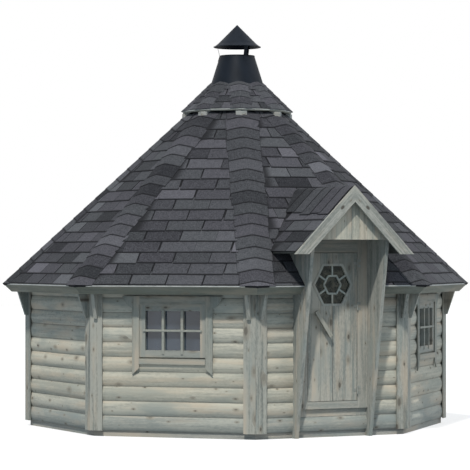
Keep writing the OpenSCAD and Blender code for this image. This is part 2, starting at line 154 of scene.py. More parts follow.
LOG_HEIGHT = 0.161
LOG_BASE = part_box("base_frame")[1].z
PALE_PINE = tint(182, 179, 165)
GREY_PINE = tint(136, 138, 130)
# The stain colour is also used as painted shade on the lower part of each log
STAIN_AND_SHADE = tint(132, 140, 135)
WARMTH = tint(182, 167, 147)
RESIN = tint(122, 112, 96)
HEART = tint(62, 56, 48)
SOOT = tint(52, 54, 52)
# Painted shade under a roof, a paler band of painted sunlight on the logs, and a grey for the wood towards
# the ground
PAINTED_PORCH_SHADE = tint(66, 70, 66)
SUNLIT_PAINT = tint(196, 184, 158)
LOW_GREY = tint(116, 125, 125)
LOW_GREY_FADE = (0.05, 0.45)
SUN_FROM = (0.15, 0.5)
SUN_UNTIL = (0.85, 1.2)
PAINTED_SHADE_FADE = 0.55
KNOT_ALONG, KNOT_ACROSS = 0.25, 0.12
MARK_ALONG, MARK_ACROSS = 0.036, 0.02
SEAM_DEPTH = 2.2


def pine(name, pale=PALE_PINE, grey=GREY_PINE, upright=0, lean=0.0, fold=False, side=False,
         board=0.0, joint=1.0, logs=False, knots=0.3, girth=1.0, mark=None, wear=0.6, painted_shade_from=0.0):
    """Weathered pine. The grain runs along the wall, or upright where upright is 1, or upright beyond
    that distance from the wall's middle. lean turns it, fold mirrors it, side draws it on faces that
    look sideways, board cuts boards of that width, with joints this dark beside the middle one, logs
    gives each log its own tone, painted shade on its lower part, a paler band of painted sunlight at
    mid height and greyer, darker wood towards the ground, knots is the share of places that have one
    and girth their size, mark places one large knot along and across the grain, wear is how far the
    weather has mottled the stain, and the last one is the height from which painted shade under a
    roof darkens the wood."""
    material, shader, place = finish(name)
    x, y, z, turn = wall_place(place)
    height_up = z
    if side:
        x, y = y, x
    if fold:
        x = abs(x)
    if lean:
        x, z = x * np.cos(lean) + z * np.sin(lean), z * np.cos(lean) - x * np.sin(lean)
    if upright == 1:
        along, across = z, x
    elif upright:
        stands = abs(x) > upright
        along, across = stands * z + (1 - stands) * x, stands * x + (1 - stands) * z
    else:
        along, across = x, z
    if logs:
        piece = place.math("FLOOR", (z - LOG_BASE) / LOG_HEIGHT)
    elif board:
        piece = place.math("FLOOR", across / board)
    else:
        piece = place.math("SIGN", across)
    lot = place.node("TexWhiteNoise", {}, {"Vector": place.vector(piece, turn, 0.5)})
    shift = lot * 7.0

    # Knots: the nearest of scattered points decides, and some points have none
    spots = place.vector((along + shift) / KNOT_ALONG, across / KNOT_ACROSS, 0.0)
    cells = {"Vector": spots, "Scale": 1.0}
    reach, spot = place.node("TexVoronoi", {"voronoi_dimensions": "2D"}, cells, "Distance", "Color")
    chance, width, depth = place.node("SeparateColor", {}, {0: spot}, 0, 1, 2)
    size = (0.025 + width * width * 0.14) * girth
    kept = chance < knots
    knot = kept * (1 - (reach / size).rise(0.55, 1.0))
    ring = kept * (1 - (reach / size).rise(1.0, 2.6))
    swirl = ring * 0.012

    # Grain: broad streaks, fine fibres and patches where the stain took differently
    streak = place.vector(along * 0.9 + shift, (across + swirl) * 26.0, y * 26.0).noise(5.0, 0.62)
    fibre = place.vector(along * 6.0 + shift, (across + swirl) * 190.0, y * 190.0).noise(2.0)
    patch = place.vector(along * 1.6 + shift, across * 5.0, y * 3.0).noise(3.0)
    glow = place.vector(along * 1.1 - shift, across * 9.0, y * 3.0).noise(3.0)
    speck = place.vector(along * 22.0 + shift, across * 60.0, y * 60.0).noise(3.0, 0.65)
    dark = streak.rise(0.38, 0.68) * 0.6 + (fibre - 0.5) * 0.5 + (speck - 0.5) * 1.1
    dark = dark + (lot - 0.5) * 0.5 + 0.08
    wood = dark.rise(-0.1, 0.85).blend(pale, grey)
    wood = (glow.rise(0.46, 0.7) * wear).blend(wood, WARMTH)
    wood = (patch.rise(0.46, 0.72) * wear).blend(wood, STAIN_AND_SHADE)

    # Logs get a paler, warmer band of painted sunlight at mid height, fading out under the eave shade
    # above, and turn greyer and darker towards the ground. Knots lie over that.
    if logs:
        painted_sunlit_band = height_up.rise(*SUN_FROM) * (1 - height_up.rise(*SUN_UNTIL))
        wood = (painted_sunlit_band * 0.2).blend(wood, SUNLIT_PAINT)
        wood = ((1 - height_up.rise(*LOW_GREY_FADE)) * 0.42).blend(wood, LOW_GREY)
    wood = (ring * 0.45).blend(wood, RESIN)
    wood = (knot * (0.2 + depth * 0.75)).blend(wood, HEART)
    if mark:
        off_along, off_across = (along - mark[0]) / MARK_ALONG, (across - mark[1]) / MARK_ACROSS
        near = off_along * off_along + off_across * off_across
        wood = ((1 - near.rise(0.2, 1.0)) * 0.9).blend(wood, HEART)
    height = fibre * 0.35 + streak * 0.5 - knot * 0.25

    # Painted shade low on each log and under a roof, dirt in the joints, and the seams of boards
    if logs:
        level = (z - LOG_BASE) / LOG_HEIGHT - piece
        # Painted shade: the lower part of each log is blended a little towards the stain colour
        wood = ((1 - level).rise(0.3, 1.0) * 0.08).blend(wood, STAIN_AND_SHADE)
        wood = (abs(level - 0.5).rise(0.45, 0.5) * 0.45).blend(wood, SOOT)
    if painted_shade_from:
        # Painted shade: above the given height the wood darkens towards a dark grey, as under the porch
        # roof
        wood = (height_up.rise(painted_shade_from, painted_shade_from + PAINTED_SHADE_FADE) * 0.42).blend(wood, PAINTED_PORCH_SHADE)
    if board:
        seam = abs(across / board - piece - 0.5).rise(0.46, 0.5)
        seam = seam * (joint + (1 - joint) * (abs(across) < board / 4))
        wood = (seam * 0.8).blend(wood, SOOT)
        height = height - seam * SEAM_DEPTH
    wood.feed(shader, "Base Color")
    (0.66 + fibre * 0.22).feed(shader, "Roughness")
    shader.inputs["Diffuse Roughness"].default_value = 0.3
    bump = {"Strength": 0.5, "Distance": 0.004, "Height": height}
    place.node("Bump", {}, bump).feed(shader, "Normal")
    return material


def dress(material, *nodes):
    """Gives solids of the frame a finish."""
    for node in nodes:
        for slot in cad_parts[node].material_slots:
            slot.material = material


FLOOR_BOARD = 0.12
dress(pine("sawn pine", tint(160, 158, 150), tint(122, 123, 119)),
      "base_frame", "floor_bearers", "wall_plates")
dress(pine("floor pine", tint(196, 178, 146), tint(168, 146, 112), board=FLOOR_BOARD), "floor_deck")


# Log walls
# Each wall is a stack of planed pine logs with a rounded outer face, mitred at the corners. The front
# wall leaves a gap for the door, with one sill log under it. Joints hold dirt and knots show dark. The
# lower part of each log has painted shade, a paler band of painted sunlight runs along the walls at
# mid height, and the lowest logs are greyer and darker.

LOG_WALLS = (
    "front_wall_left", "front_wall_right", "front_wall_sill", "wall_front_right", "wall_right",
    "wall_back_right", "wall_back", "wall_back_left", "wall_left", "wall_front_left",
)
dress(pine("log pine", logs=True, knots=0.62, wear=0.75), *LOG_WALLS)


# Corner boards and eave brackets
# Two planed boards cover the log ends at each corner, and a wedge of board stands on the middle of
# each, nailed through from behind, to hold up the eave.

dress(pine("corner pine", tint(158, 157, 147), tint(98, 103, 98), upright=1, knots=0.4, girth=1.4),
      "corner_boards", "eave_brackets")


# Windows
# Each window is a pine sash of six panes in a lining that fills four log courses. Thin bars lap on
# to the sash, and the trim is a head board with rounded ends, two casings and a sill board.

GLASS_HALF = 0.316
CASING_START = GLASS_HALF + 0.06
SASH_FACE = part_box("wall_right")[1].x
dress(pine("sash pine", tint(144, 145, 137), tint(110, 115, 110), upright=GLASS_HALF),
      "window_frame_left", "window_frame_right")
dress(pine("casing pine", tint(146, 146, 136), tint(100, 103, 97), upright=CASING_START),
      "window_trim_left", "window_trim_right")


def clear_glass(name, dark, pale, bend, grain=3.0):
    """Window glass before a dark room: a nearly opaque tinted sheet whose dark colour is painted shade,
    standing in for the room behind it, smooth but for faint ripples, finer where grain is larger. Its
    mirror strength follows from how much it bends light."""
    material, shader, place = finish(name)
    x, y, z = place.node("SeparateXYZ", {}, {0: place}, 0, 1, 2)
    ripple = place.vector(x * grain, y * grain, z * grain).noise(2.0)
    ripple.rise(0.35, 0.65).blend(dark, pale).feed(shader, "Base Color")
    (0.05 + ripple * 0.08).feed(shader, "Roughness")
    shader.inputs["IOR"].default_value = bend
    shader.inputs["Alpha"].default_value = 0.9
    return material


dress(clear_glass("window glass", tint(42, 52, 63), tint(62, 72, 84), 1.75),
      "window_glass_left", "window_glass_right")


def tubes(name, rings, material, body, slot, closed=False, smooth=False, **marks):
    """A piece of closed skins from rings of points, rings[item, step, point]: each ring is joined to
    the next, and the ends are capped, or the last ring meets the first where closed is set. marks
    are values kept at the points for the material."""
    index = np.arange(rings[..., 0].size).reshape(rings.shape[:3])
    start, end = (index, np.roll(index, -1, axis=1)) if closed else (index[:, :-1], index[:, 1:])
    sides = np.stack([start, np.roll(start, -1, axis=2), np.roll(end, -1, axis=2), end], axis=-1)
    faces = sides.reshape(-1, 4).tolist()
    if not closed:
        faces += index[:, 0, ::-1].tolist() + index[:, -1].tolist()
    mesh = bpy.data.meshes.new(name)
    mesh.from_pydata(rings.reshape(-1, 3).tolist(), [], faces)
    for key, value in marks.items():
        mark = mesh.attributes.new(key, "FLOAT", "POINT")
        mark.data.foreach_set("value", np.broadcast_to(value, index.shape).astype(np.float32).ravel())
    shape = bmesh.new()
    shape.from_mesh(mesh)
    bmesh.ops.dissolve_degenerate(shape, dist=1e-5, edges=shape.edges)
    bmesh.ops.recalc_face_normals(shape, faces=shape.faces)
    shape.to_mesh(mesh)
    shape.free()
    mesh.polygons.foreach_set("use_smooth", [smooth] * len(mesh.polygons))
    mesh.materials.append(material)
    piece = bpy.data.objects.new(name, mesh)
    bpy.context.scene.collection.objects.link(piece)
    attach(piece, body)


def on_wall(turn, x, a, z):
    """A wall place as a point: x along the wall, a outward and z up, turned round the middle."""
    x, a, z = np.broadcast_arrays(x, a, z)
    sine, cosine = np.sin(turn), np.cos(turn)
    return np.stack([x * cosine + a * sine, x * sine - a * cosine, z], axis=-1)


def bars(turn, start, end, width, back, front, ease=0.003):
    """Straight bars on a wall, from start to end as (x, z). The section is a box with eased front
    corners: six points across the bar and outward, set at both ends."""
    start, end = np.asarray(start, float), np.asarray(end, float)
    run = (end - start) / np.linalg.norm(end - start, axis=-1, keepdims=True)
    cross = np.stack([-run[:, 1], run[:, 0]], axis=-1)
    half = width / 2
    off = np.array([-half, half, half, half - ease, ease - half, -half])
    out = np.array([back, back, front - ease, front, front, front - ease])
    flat = np.stack([start, end], axis=1)[:, :, None] + off[:, None] * cross[:, None, None]
    return on_wall(turn, flat[..., 0], out, flat[..., 1])


PANE_Z = (0.946, 1.374)
PANE_MIDDLE = sum(PANE_Z) / 2
BAR_X = (-0.109, 0.109)
BAR_BACK = SASH_FACE - 0.041
UPRIGHT_Z = (PANE_Z[0] - 0.040, PANE_Z[1] + 0.012)
UPRIGHT_WIDTH, UPRIGHT_FRONT = 0.027, SASH_FACE + 0.010
LEVEL_HALF = GLASS_HALF + 0.022
LEVEL_WIDTH, LEVEL_FRONT = 0.022, SASH_FACE + 0.014
upright_ends = [[(x, z) for x in BAR_X] for z in UPRIGHT_Z]
level_ends = [[(x, PANE_MIDDLE)] for x in (-LEVEL_HALF, LEVEL_HALF)]
bar_pine = pine("bar pine", tint(146, 147, 138), tint(120, 124, 118), knots=0.1, wear=0.3)
window_bars = []
for turn in (-WALL_TURN, WALL_TURN):
    window_bars.append(bars(turn, *upright_ends, UPRIGHT_WIDTH, BAR_BACK, UPRIGHT_FRONT))
    window_bars.append(bars(turn, *level_ends, LEVEL_WIDTH, BAR_BACK, LEVEL_FRONT))
tubes("window_bars", np.concatenate(window_bars), bar_pine, "cabin", "board_wood")


# Door
# A plank door hangs on three steel hinges in a board frame. Its six-sided window has a small
# six-sided pane in the middle, held by bars, and the handle is a slanting pine bar on two posts.

JAMB = 0.311
PLANK = 0.153
HANDLE_LEAN = 0.59
# Height from which the shade under the porch roof is painted on to the door and its frame
PORCH_SHADE = 1.6
LEAF_FACE = -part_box("door_leaf")[0].y
dress(pine("jamb pine", tint(166, 162, 151), tint(128, 130, 123), upright=JAMB, painted_shade_from=PORCH_SHADE),
      "door_frame", "threshold")
dress(pine("plank pine", tint(167, 163, 151), tint(114, 119, 114), upright=1, board=PLANK, joint=0.3,
           knots=0.75, girth=1.6, painted_shade_from=PORCH_SHADE), "door_leaf")
dress(pine("moulding pine", tint(164, 164, 155), tint(132, 134, 128), upright=1, wear=0.3),
      "door_window_frame")
dress(pine("handle pine", tint(152, 150, 139), tint(112, 115, 108), upright=1, lean=HANDLE_LEAN,
           knots=0.1), "door_handle")
# The door glass's dark tint is painted shade of the room behind the pane
dress(clear_glass("door glass", tint(12, 28, 23), tint(78, 77, 65), 1.3, 15.0), "door_window_glass")


def plain_steel(name, colour, rough, bare):
    """Sheet or bar metal under dull paint, or bare to some share: one colour with a faint cloud in it
    and in its gloss."""
    material, shader, place = finish(name)
    x, y, z = place.node("SeparateXYZ", {}, {0: place}, 0, 1, 2)
    cloud = place.vector(x * 9.0, y * 9.0, z * 5.0).noise(4.0)
    darker = tuple(0.72 * part for part in colour[:3]) + (1.0,)
    cloud.rise(0.3, 0.75).blend(colour, darker).feed(shader, "Base Color")
    (rough + (cloud - 0.5) * 0.25).feed(shader, "Roughness")
    shader.inputs["Metallic"].default_value = bare
    shader.inputs["Specular IOR Level"].default_value = 0.1
    return material


dress(plain_steel("hinge steel", tint(150, 152, 145), 0.6, 0.2), "frame_hinges", "door_hinges")

pane_low, pane_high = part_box("door_window_glass")
pane_z = (pane_low.z + pane_high.z) / 2
PANE_HALF = np.array([pane_high.x, (pane_high.z - pane_low.z) / 2])
INNER_HALF = np.array([0.106, 0.096])
PANE_BAR_BACK = LEAF_FACE - 0.017
RING_WIDTH, RING_FRONT = 0.021, LEAF_FACE - 0.002
SPOKE_WIDTH, SPOKE_FRONT = 0.020, LEAF_FACE - 0.004
HEXAGON = np.array([(1, 0), (0.5, 1), (-0.5, 1), (-1, 0), (-0.5, -1), (0.5, -1)])
next_corner = np.roll(HEXAGON, -1, axis=0)
edge_middle = (HEXAGON + next_corner) / 2
pane_middle = (0, pane_z)
pane_bars = np.concatenate([
    bars(0.0, INNER_HALF * HEXAGON + pane_middle, INNER_HALF * next_corner + pane_middle,
         RING_WIDTH, PANE_BAR_BACK, RING_FRONT),
    bars(0.0, INNER_HALF * edge_middle + pane_middle, PANE_HALF * edge_middle + pane_middle,
         SPOKE_WIDTH, PANE_BAR_BACK, SPOKE_FRONT),
])
# The door's pane bars are a paler copy of the window bar wood: painted light against the porch shade
pane_pine_painted_light = pine("pane bar pine painted lighter", tint(176, 178, 168), tint(146, 152, 146), knots=0.1)
tubes("door_pane_bars", pane_bars, pane_pine_painted_light, "door", "board_wood")


# Porch
# Two leaning cheeks carry a small gable roof over the door. Upright boards fill the gable behind a
# pair of barge boards with a large knot each, and a board ceiling closes the space above the door.

dress(pine("cheek pine", tint(150, 150, 142), tint(106, 110, 105), upright=1, side=True), "porch_cheeks")
GABLE_BOARD = 0.096
dress(pine("gable pine", tint(182, 177, 160), tint(138, 139, 129), upright=1, board=GABLE_BOARD,
           joint=0.25), "porch_gable")
PORCH_PITCH = np.pi / 4
BARGE_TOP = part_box("barge_boards")[1].z
KNOT_DOWN, KNOT_IN = 0.39, 0.08
barge_knot = ((BARGE_TOP - KNOT_DOWN) * np.cos(PORCH_PITCH), (BARGE_TOP - KNOT_IN) * np.cos(PORCH_PITCH))
dress(pine("barge pine", tint(161, 160, 151), tint(114, 117, 111), upright=1, lean=PORCH_PITCH, fold=True,
           mark=barge_knot, wear=0.3), "barge_boards")
dress(pine("ceiling pine", tint(150, 153, 144), tint(118, 126, 121)), "porch_ceiling")


# Roof boards and fascia
# The slopes are pine boards on edge-glued panels, seen only from below and at the edge of the vent
# hat. A fascia board, square to the slope, hangs under the eave with a pale metal drip strip on top.

dress(pine("roof pine", tint(172, 169, 154), tint(138, 140, 130)),
      "roof_front", "roof_slopes", "vent_hat")
dress(pine("block pine", tint(154, 154, 149), tint(128, 130, 126)), "hat_blocks")
# The porch deck is painted dark, as painted shade under the porch eaves and shingles
dress(pine("porch deck pine in painted shade", tint(70, 73, 70), tint(54, 58, 56), wear=0.1), "porch_roof")
dress(pine("fascia pine", tint(106, 109, 98), tint(84, 89, 81), wear=0.3), "fascia_boards")

ROOF_PITCH = np.pi / 4
SMOKE_HOLE = 0.42
EAVE_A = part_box("fascia_boards")[1].x
ROOF_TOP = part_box("roof_slopes")[1].z + SMOKE_HOLE
EAVE_Z = ROOF_TOP - EAVE_A
WALL_TURNS = np.arange(8) * WALL_TURN


def on_slope(turn, edge_a, edge_z, x, s, h):
    """A point on a slope of an eight-sided roof: x along its eave, s up the slope and h off it."""
    a = edge_a - s * np.cos(ROOF_PITCH) + h * np.sin(ROOF_PITCH)
    z = edge_z + s * np.sin(ROOF_PITCH) + h * np.cos(ROOF_PITCH)
    return on_wall(turn, x, a, z)


drip_paint = plain_steel("drip paint", tint(170, 171, 167), 0.5, 0.0)
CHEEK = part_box("porch_cheeks")[1].x
DRIP_START = CHEEK + 0.004
DRIP_END = EAVE_A * np.tan(WALL_TURN / 2) - 0.14
DRIP_S = np.array([-0.0085, 0.001, 0.0035, 0.0035, 0.0005, -0.0065])
DRIP_H = np.array([-0.0015, 0.008, 0.0055, 0.0005, 0.0005, -0.0035])
drip_ends = [(turn, -DRIP_END, DRIP_END) for turn in WALL_TURNS[1:]]
drip_ends += [(0.0, -DRIP_END, -DRIP_START), (0.0, DRIP_START, DRIP_END)]
drips = [[on_slope(turn, EAVE_A, EAVE_Z, x, DRIP_S, DRIP_H) for x in ends] for turn, *ends in drip_ends]
tubes("drip_strips", np.array(drips), drip_paint, "cabin", "hinge_steel")


# Shingles
# Rows of charcoal felt tabs with slots between them cover each slope, every row half a tab on from the
# one below and lapped over it. Bent tabs cap the hips. Here and there a tab has paler grit. Dark raw
# edges carry painted shade: a dark line along each lower edge, a faint shadow under the row above,
# and under felt as dark as the edges in the slots.

TAB = 0.415
COURSE = 0.166
TAB_LAP = 0.05
EAVE_LAP = -0.004
CAP_HALF = 0.203
UNDER_CAP = 0.02
SMALLEST_TAB = 0.012
CLOSED_SHARE, CLOSED_SLOT, OPEN_SLOT = 0.2, 0.002, (0.006, 0.013)
PALE_SHARE = 0.09
NOTCH = CHEEK + 0.003
luck = np.random.default_rng(8)


def felt(name):
    """Mineral felt: the tab's own tone and hue, mottled, with fine grit on it and raw dark edges, which
    also carry painted shade where the edge mark is set.
    """
    material, shader, place = finish(name)
    tone = place.node("Attribute", {"attribute_name": "tone"}, {}, "Fac")
    edge = place.node("Attribute", {"attribute_name": "edge"}, {}, "Fac")
    x, y, z = place.node("SeparateXYZ", {}, {0: place}, 0, 1, 2)
    cloud = place.vector(x * 22.0, y * 22.0, z * 22.0).noise(4.0, 0.7)
    grit = place.vector(x * 70.0, y * 70.0, z * 70.0).noise(3.0, 0.75)
    shade = tone + (cloud - 0.5) * 0.3 + (grit - 0.5) * 1.1
    sway = place.math("SINE", tone * 90.0) * 0.5 + 0.5
    mineral = sway.blend(tint(105, 106, 109), tint(108, 106, 112))
    colour = shade.rise(-0.25, 1.15).blend(tint(26, 27, 30), mineral)
    # The edge mark paints dark raw edges and painted shade: along lower edges, under the row above and in
    # the slots
    colour = (edge.rise(0.05, 0.75) * 0.9).blend(colour, tint(32, 32, 34))
    colour.feed(shader, "Base Color")
    shader.inputs["Roughness"].default_value = 0.93
    shader.inputs["Specular IOR Level"].default_value = 0.1
    shader.inputs["Diffuse Roughness"].default_value = 0.2
    bump = {"Strength": 0.55, "Distance": 0.003, "Height": grit + cloud * 0.6}
    place.node("Bump", {}, bump).feed(shader, "Normal")
    return material


felt_grit = felt("felt grit")
# Tab edge marks: 1 on the lower edge and sides, raw edges and painted shade; 0.2 at the upper end, painted
# shadow
TAB_STEP = np.array([0.0, 0.0, 0.12, 1.0, 1.0])
TAB_SIDE = np.array([0.0, 0.015, 0.5, 0.985, 1.0])
TAB_HEIGHT = np.array([0.002, 0.011, 0.0105, 0.0045, 0.002])
TAB_CURL = np.array([0, 1, 1, 0, 0])
TAB_EDGE_AND_SHADE = np.maximum([1.0, 1.0, 0.0, 0.2, 0.2], np.array([1, 0, 0, 0, 1])[:, None])


def tab_tones(count):
    """A tone for each tab: most are close to the middle tone, about one in eleven is pale."""
    tones = np.clip(luck.normal(0.30, 0.115, count), 0.03, 0.6)
    return np.where(luck.random(count) < PALE_SHARE, luck.uniform(0.5, 0.75, count), tones)


def lay_tabs(place, rows, left, right, tab=TAB, course=COURSE, lap=EAVE_LAP, top=np.inf, lift=0.0,
             shift=0.0):
    """Rows of tabs on a slope. Each tab is a wedge, thick at its lower edge, drawn by five points up
    the slope and five steps along it, and cut at the slope's four limits. The first row laps over the
    eave by lap, each row lies higher than the last by lift, and shift moves all rows up the slope."""
    first, last = int(np.floor(left(0.0) / tab)) - 1, int(np.ceil(right(0.0) / tab)) + 1
    row, column = (grid.ravel() for grid in np.meshgrid(rows, np.arange(first, last + 1), indexing="ij"))
    slot = np.where(luck.random(row.size) < CLOSED_SHARE, CLOSED_SLOT, luck.uniform(*OPEN_SLOT, row.size))
    start = (column + 0.5 * (row % 2)) * tab + luck.normal(0, 0.004, row.size)
    x = start[:, None] + slot[:, None] + TAB_SIDE * (tab - slot[:, None])
    s = row[:, None] * course + shift - lap + TAB_STEP * (course + TAB_LAP)
    s = np.clip(s + (1 - TAB_STEP) * luck.normal(0, 0.003, row.size)[:, None], -lap, top)
    h = TAB_HEIGHT + TAB_CURL * luck.uniform(0, 0.002, row.size)[:, None] + lift * row[:, None]
    x = np.clip(x[:, :, None], left(s)[:, None], right(s)[:, None])
    kept = (np.ptp(x, axis=1).max(axis=1) > SMALLEST_TAB) & (np.ptp(s, axis=1) > SMALLEST_TAB)
    return place(x[kept], s[kept][:, None], h[kept][:, None])


def facet_tabs(turn, edge_a, edge_z, rows, gap=0.0, cap=CAP_HALF, **laying):
    """The tabs of one slope, from under the caps of one hip to those of the next, or on both sides of
    a gap in its middle."""
    def place(x, s, h):
        return on_slope(turn, edge_a, edge_z, x, s, h)

    def hip(s):
        half = (edge_a - s * np.cos(ROOF_PITCH)) * np.tan(WALL_TURN / 2)
        return np.maximum(half - cap + UNDER_CAP, 0)

    def middle(s):
        return gap + 0 * s

    if not gap:
        return lay_tabs(place, rows, lambda s: -hip(s), hip, **laying)
    return np.concatenate([
        lay_tabs(place, rows, middle, hip, **laying),
        lay_tabs(place, rows, lambda s: -hip(s), lambda s: -middle(s), **laying),
    ])


ROOF_ROWS = np.arange(int((EAVE_A - SMOKE_HOLE) / np.cos(ROOF_PITCH) / COURSE) + 1)
PORCH_BACK = -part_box("porch_ceiling")[1].y
in_notch = ROOF_ROWS < (EAVE_A - PORCH_BACK) / np.cos(ROOF_PITCH) / COURSE - 0.3
roof_tabs = [facet_tabs(turn, EAVE_A, EAVE_Z, ROOF_ROWS) for turn in WALL_TURNS[1:]]

# The front slope is tabbed a little higher than the others, so a cut row fills it down to the eave
FRONT_SHIFT = 0.034
roof_tabs.append(facet_tabs(0.0, EAVE_A, EAVE_Z, ROOF_ROWS[~in_notch], shift=FRONT_SHIFT))
notch_rows = np.append(-1, ROOF_ROWS[in_notch])
roof_tabs.append(facet_tabs(0.0, EAVE_A, EAVE_Z, notch_rows, NOTCH, shift=FRONT_SHIFT))
roof_tabs = np.concatenate(roof_tabs)
tubes("roof_shingles", roof_tabs, felt_grit, "cabin", "roof_covering",
      tone=tab_tones(len(roof_tabs))[:, None, None], edge=TAB_EDGE_AND_SHADE)


SHEET_HEIGHT = np.array([0.0005, 0.003, 0.003, 0.0005])


def felt_sheet(place, low, high, left, right):
    """The felt laid under the tabs of a slope: a flat sheet from low to high between its limits."""
    s = np.array([low, low, high, high])
    return np.stack([place(left(s), s, SHEET_HEIGHT), place(right(s), s, SHEET_HEIGHT)])


def facet_sheet(turn, edge_a, edge_z, low_a, high_a, gap=None):
    """The under felt of one slope between two distances from the middle, or of its right or left side
    where a gap is given."""
    def place(x, s, h):
        return on_slope(turn, edge_a, edge_z, x, s, h)

    def hip(s):
        return (edge_a - s * np.cos(ROOF_PITCH)) * np.tan(WALL_TURN / 2)

    low, high = ((edge_a - a) / np.cos(ROOF_PITCH) for a in (low_a, high_a))
    if gap is None:
        return felt_sheet(place, low, high, lambda s: -hip(s), hip)
    if gap > 0:
        return felt_sheet(place, low, high, lambda s: gap + 0 * s, hip)
    return felt_sheet(place, low, high, lambda s: -hip(s), lambda s: gap + 0 * s)


sheets = [facet_sheet(turn, EAVE_A, EAVE_Z, EAVE_A, SMOKE_HOLE) for turn in WALL_TURNS[1:]]
sheets.append(facet_sheet(0.0, EAVE_A, EAVE_Z, PORCH_BACK, SMOKE_HOLE))
sheets += [facet_sheet(0.0, EAVE_A, EAVE_Z, EAVE_A, PORCH_BACK, side * NOTCH) for side in (-1, 1)]
# Under felt in the darkest tone and edge colour: painted shade in the slots between tabs
tubes("roof_felt", np.array(sheets), felt_grit, "cabin", "roof_covering", tone=0.0, edge=1.0)


CAP_BEND = 0.03
CAP_LAP = 0.035
CAP_SEAT = 0.005
SHORTEST_CAP = 0.03
CAP_SPREAD = np.array([-1, -0.97, -0.5, -0.13, 0, 0.13, 0.5, 0.97, 1])


def caps(start, run, right, left, first, end, step, half, trim=0.0, fold=0.0, lift=0.0, thick=0.006):
    """Bent tabs along a hip or a ridge, from first to end. Across a cap the section is a rounded bend
    between the two slopes, in nine points, and along it a wedge, thick at its lower end and flatter
    to the sides. The lowest cap is trimmed to the eave, which rises by trim to either side, and
    folded down over it by fold. Each cap lies higher than the last by lift, and the last is cut at
    the end."""
    count = int((end - first - SHORTEST_CAP) / step) + 1
    run, right, left = (np.asarray(part, float) for part in (run, right, left))
    widened = CAP_SPREAD * luck.normal(1, 0.03, (count, 1))
    across = half * (widened + abs(CAP_SPREAD) * luck.normal(0, 0.04, (count, 1)))
    out = (right + left) / 2
    up = -out / np.linalg.norm(out)
    sag = np.hypot(across, CAP_BEND) - CAP_BEND
    section = sag[..., None] * out + across[..., None] * (right - left) / 2
    v = first + np.arange(count)[:, None] * step + TAB_STEP * (step + CAP_LAP)
    v = v + (1 - TAB_STEP) * luck.normal(0, 0.006, count)[:, None]
    v = np.clip(v[:, None], trim * abs(across)[..., None], end)
    wedge = np.array([-0.004, thick, thick - 0.0005, 0.001, -0.003])
    h = CAP_SEAT + wedge + lift * np.arange(count)[:, None]
    h[0, 0] -= fold
    h = h[:, None] * (1 - 0.5 * abs(CAP_SPREAD) ** 3)[:, None]
    return np.asarray(start) + section[:, :, None] + v[..., None] * run + h[..., None] * up


HIP_TRIM = np.tan(WALL_TURN / 2) * np.cos(ROOF_PITCH)
CAP_FOLD = 0.022
# Cap edge marks as for tabs: raw dark edges and painted shadow lines
CAP_EDGE_AND_SHADE = TAB_EDGE_AND_SHADE[[0, 1, 1, 1, 2, 3, 3, 3, 4]]


def hip_caps(turn, edge_a, edge_z, first, end, step, half, fold=CAP_FOLD, **laying):
    """The caps of one hip of an eight-sided roof, from just below its eave."""
    reach = edge_a / np.cos(WALL_TURN / 2)
    outward = np.array([np.sin(turn), -np.cos(turn), 0.0])
    run = np.array([0, 0, np.cos(WALL_TURN / 2)]) - outward
    run /= np.linalg.norm(run)
    sides = []
    for hand in (1, -1):
        facet = turn + hand * WALL_TURN / 2
        level = hand * np.array([np.cos(facet), np.sin(facet), 0.0])
        flat = level - run * (level @ run)
        sides.append(flat / np.linalg.norm(flat))
    start = outward * reach + (0, 0, edge_z) + run * EAVE_LAP
    return caps(start, run, *sides, first, end, step, half, HIP_TRIM, fold, **laying)


# Each hip is capped one by one: the first cap's place and the step differ a little from hip to hip
CAP_FIRST = (-0.082, 0.0, -0.06, -0.03, 0.0, -0.09, -0.016, -0.113)
CAP_STEP = (0.1645, 0.172, 0.168, 0.175, 0.170, 0.172, 0.168, 0.183)
CAP_END = 2.95
roof_caps = np.concatenate([
    hip_caps(turn + WALL_TURN / 2, EAVE_A, EAVE_Z, first, CAP_END, step, CAP_HALF)
    for turn, first, step in zip(WALL_TURNS, CAP_FIRST, CAP_STEP)
])
tubes("hip_caps", roof_caps, felt_grit, "cabin", "roof_covering",
      tone=tab_tones(len(roof_caps))[:, None, None], edge=CAP_EDGE_AND_SHADE)


# Porch shingles
# The porch roof has the same tabs in rows along its eaves, cut at the valleys where it runs into the
# main roof, and bent tabs on its ridge, laid from the front.

PORCH_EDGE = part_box("porch_roof")[1].x
PORCH_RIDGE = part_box("porch_roof")[1].z
PORCH_FRONT = -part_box("porch_roof")[0].y
PORCH_EAVE = PORCH_RIDGE - PORCH_EDGE
PORCH_LAP = 0.022
PORCH_SHIFT = -0.03
VALLEY_GAP = 0.01
porch_length = PORCH_EDGE / np.cos(ROOF_PITCH)


def porch_place(side):
    """Gives the place function of one porch slope: x is outward from the middle, s up and h off it."""
    def place(x, s, h):
        off = PORCH_EDGE - s * np.cos(ROOF_PITCH) + h * np.sin(ROOF_PITCH)
        return on_wall(0.0, side * off, x, PORCH_EAVE + s * np.sin(ROOF_PITCH) + h * np.cos(ROOF_PITCH))
    return place


def valley(s):
    """Where the porch slope meets the main roof: the line on which both have the same height."""
    return ROOF_TOP - PORCH_EAVE - s * np.sin(ROOF_PITCH) - VALLEY_GAP


def verge(s):
    """The front edge of the porch slope, at the same distance all the way up."""
    return PORCH_FRONT + 0 * s


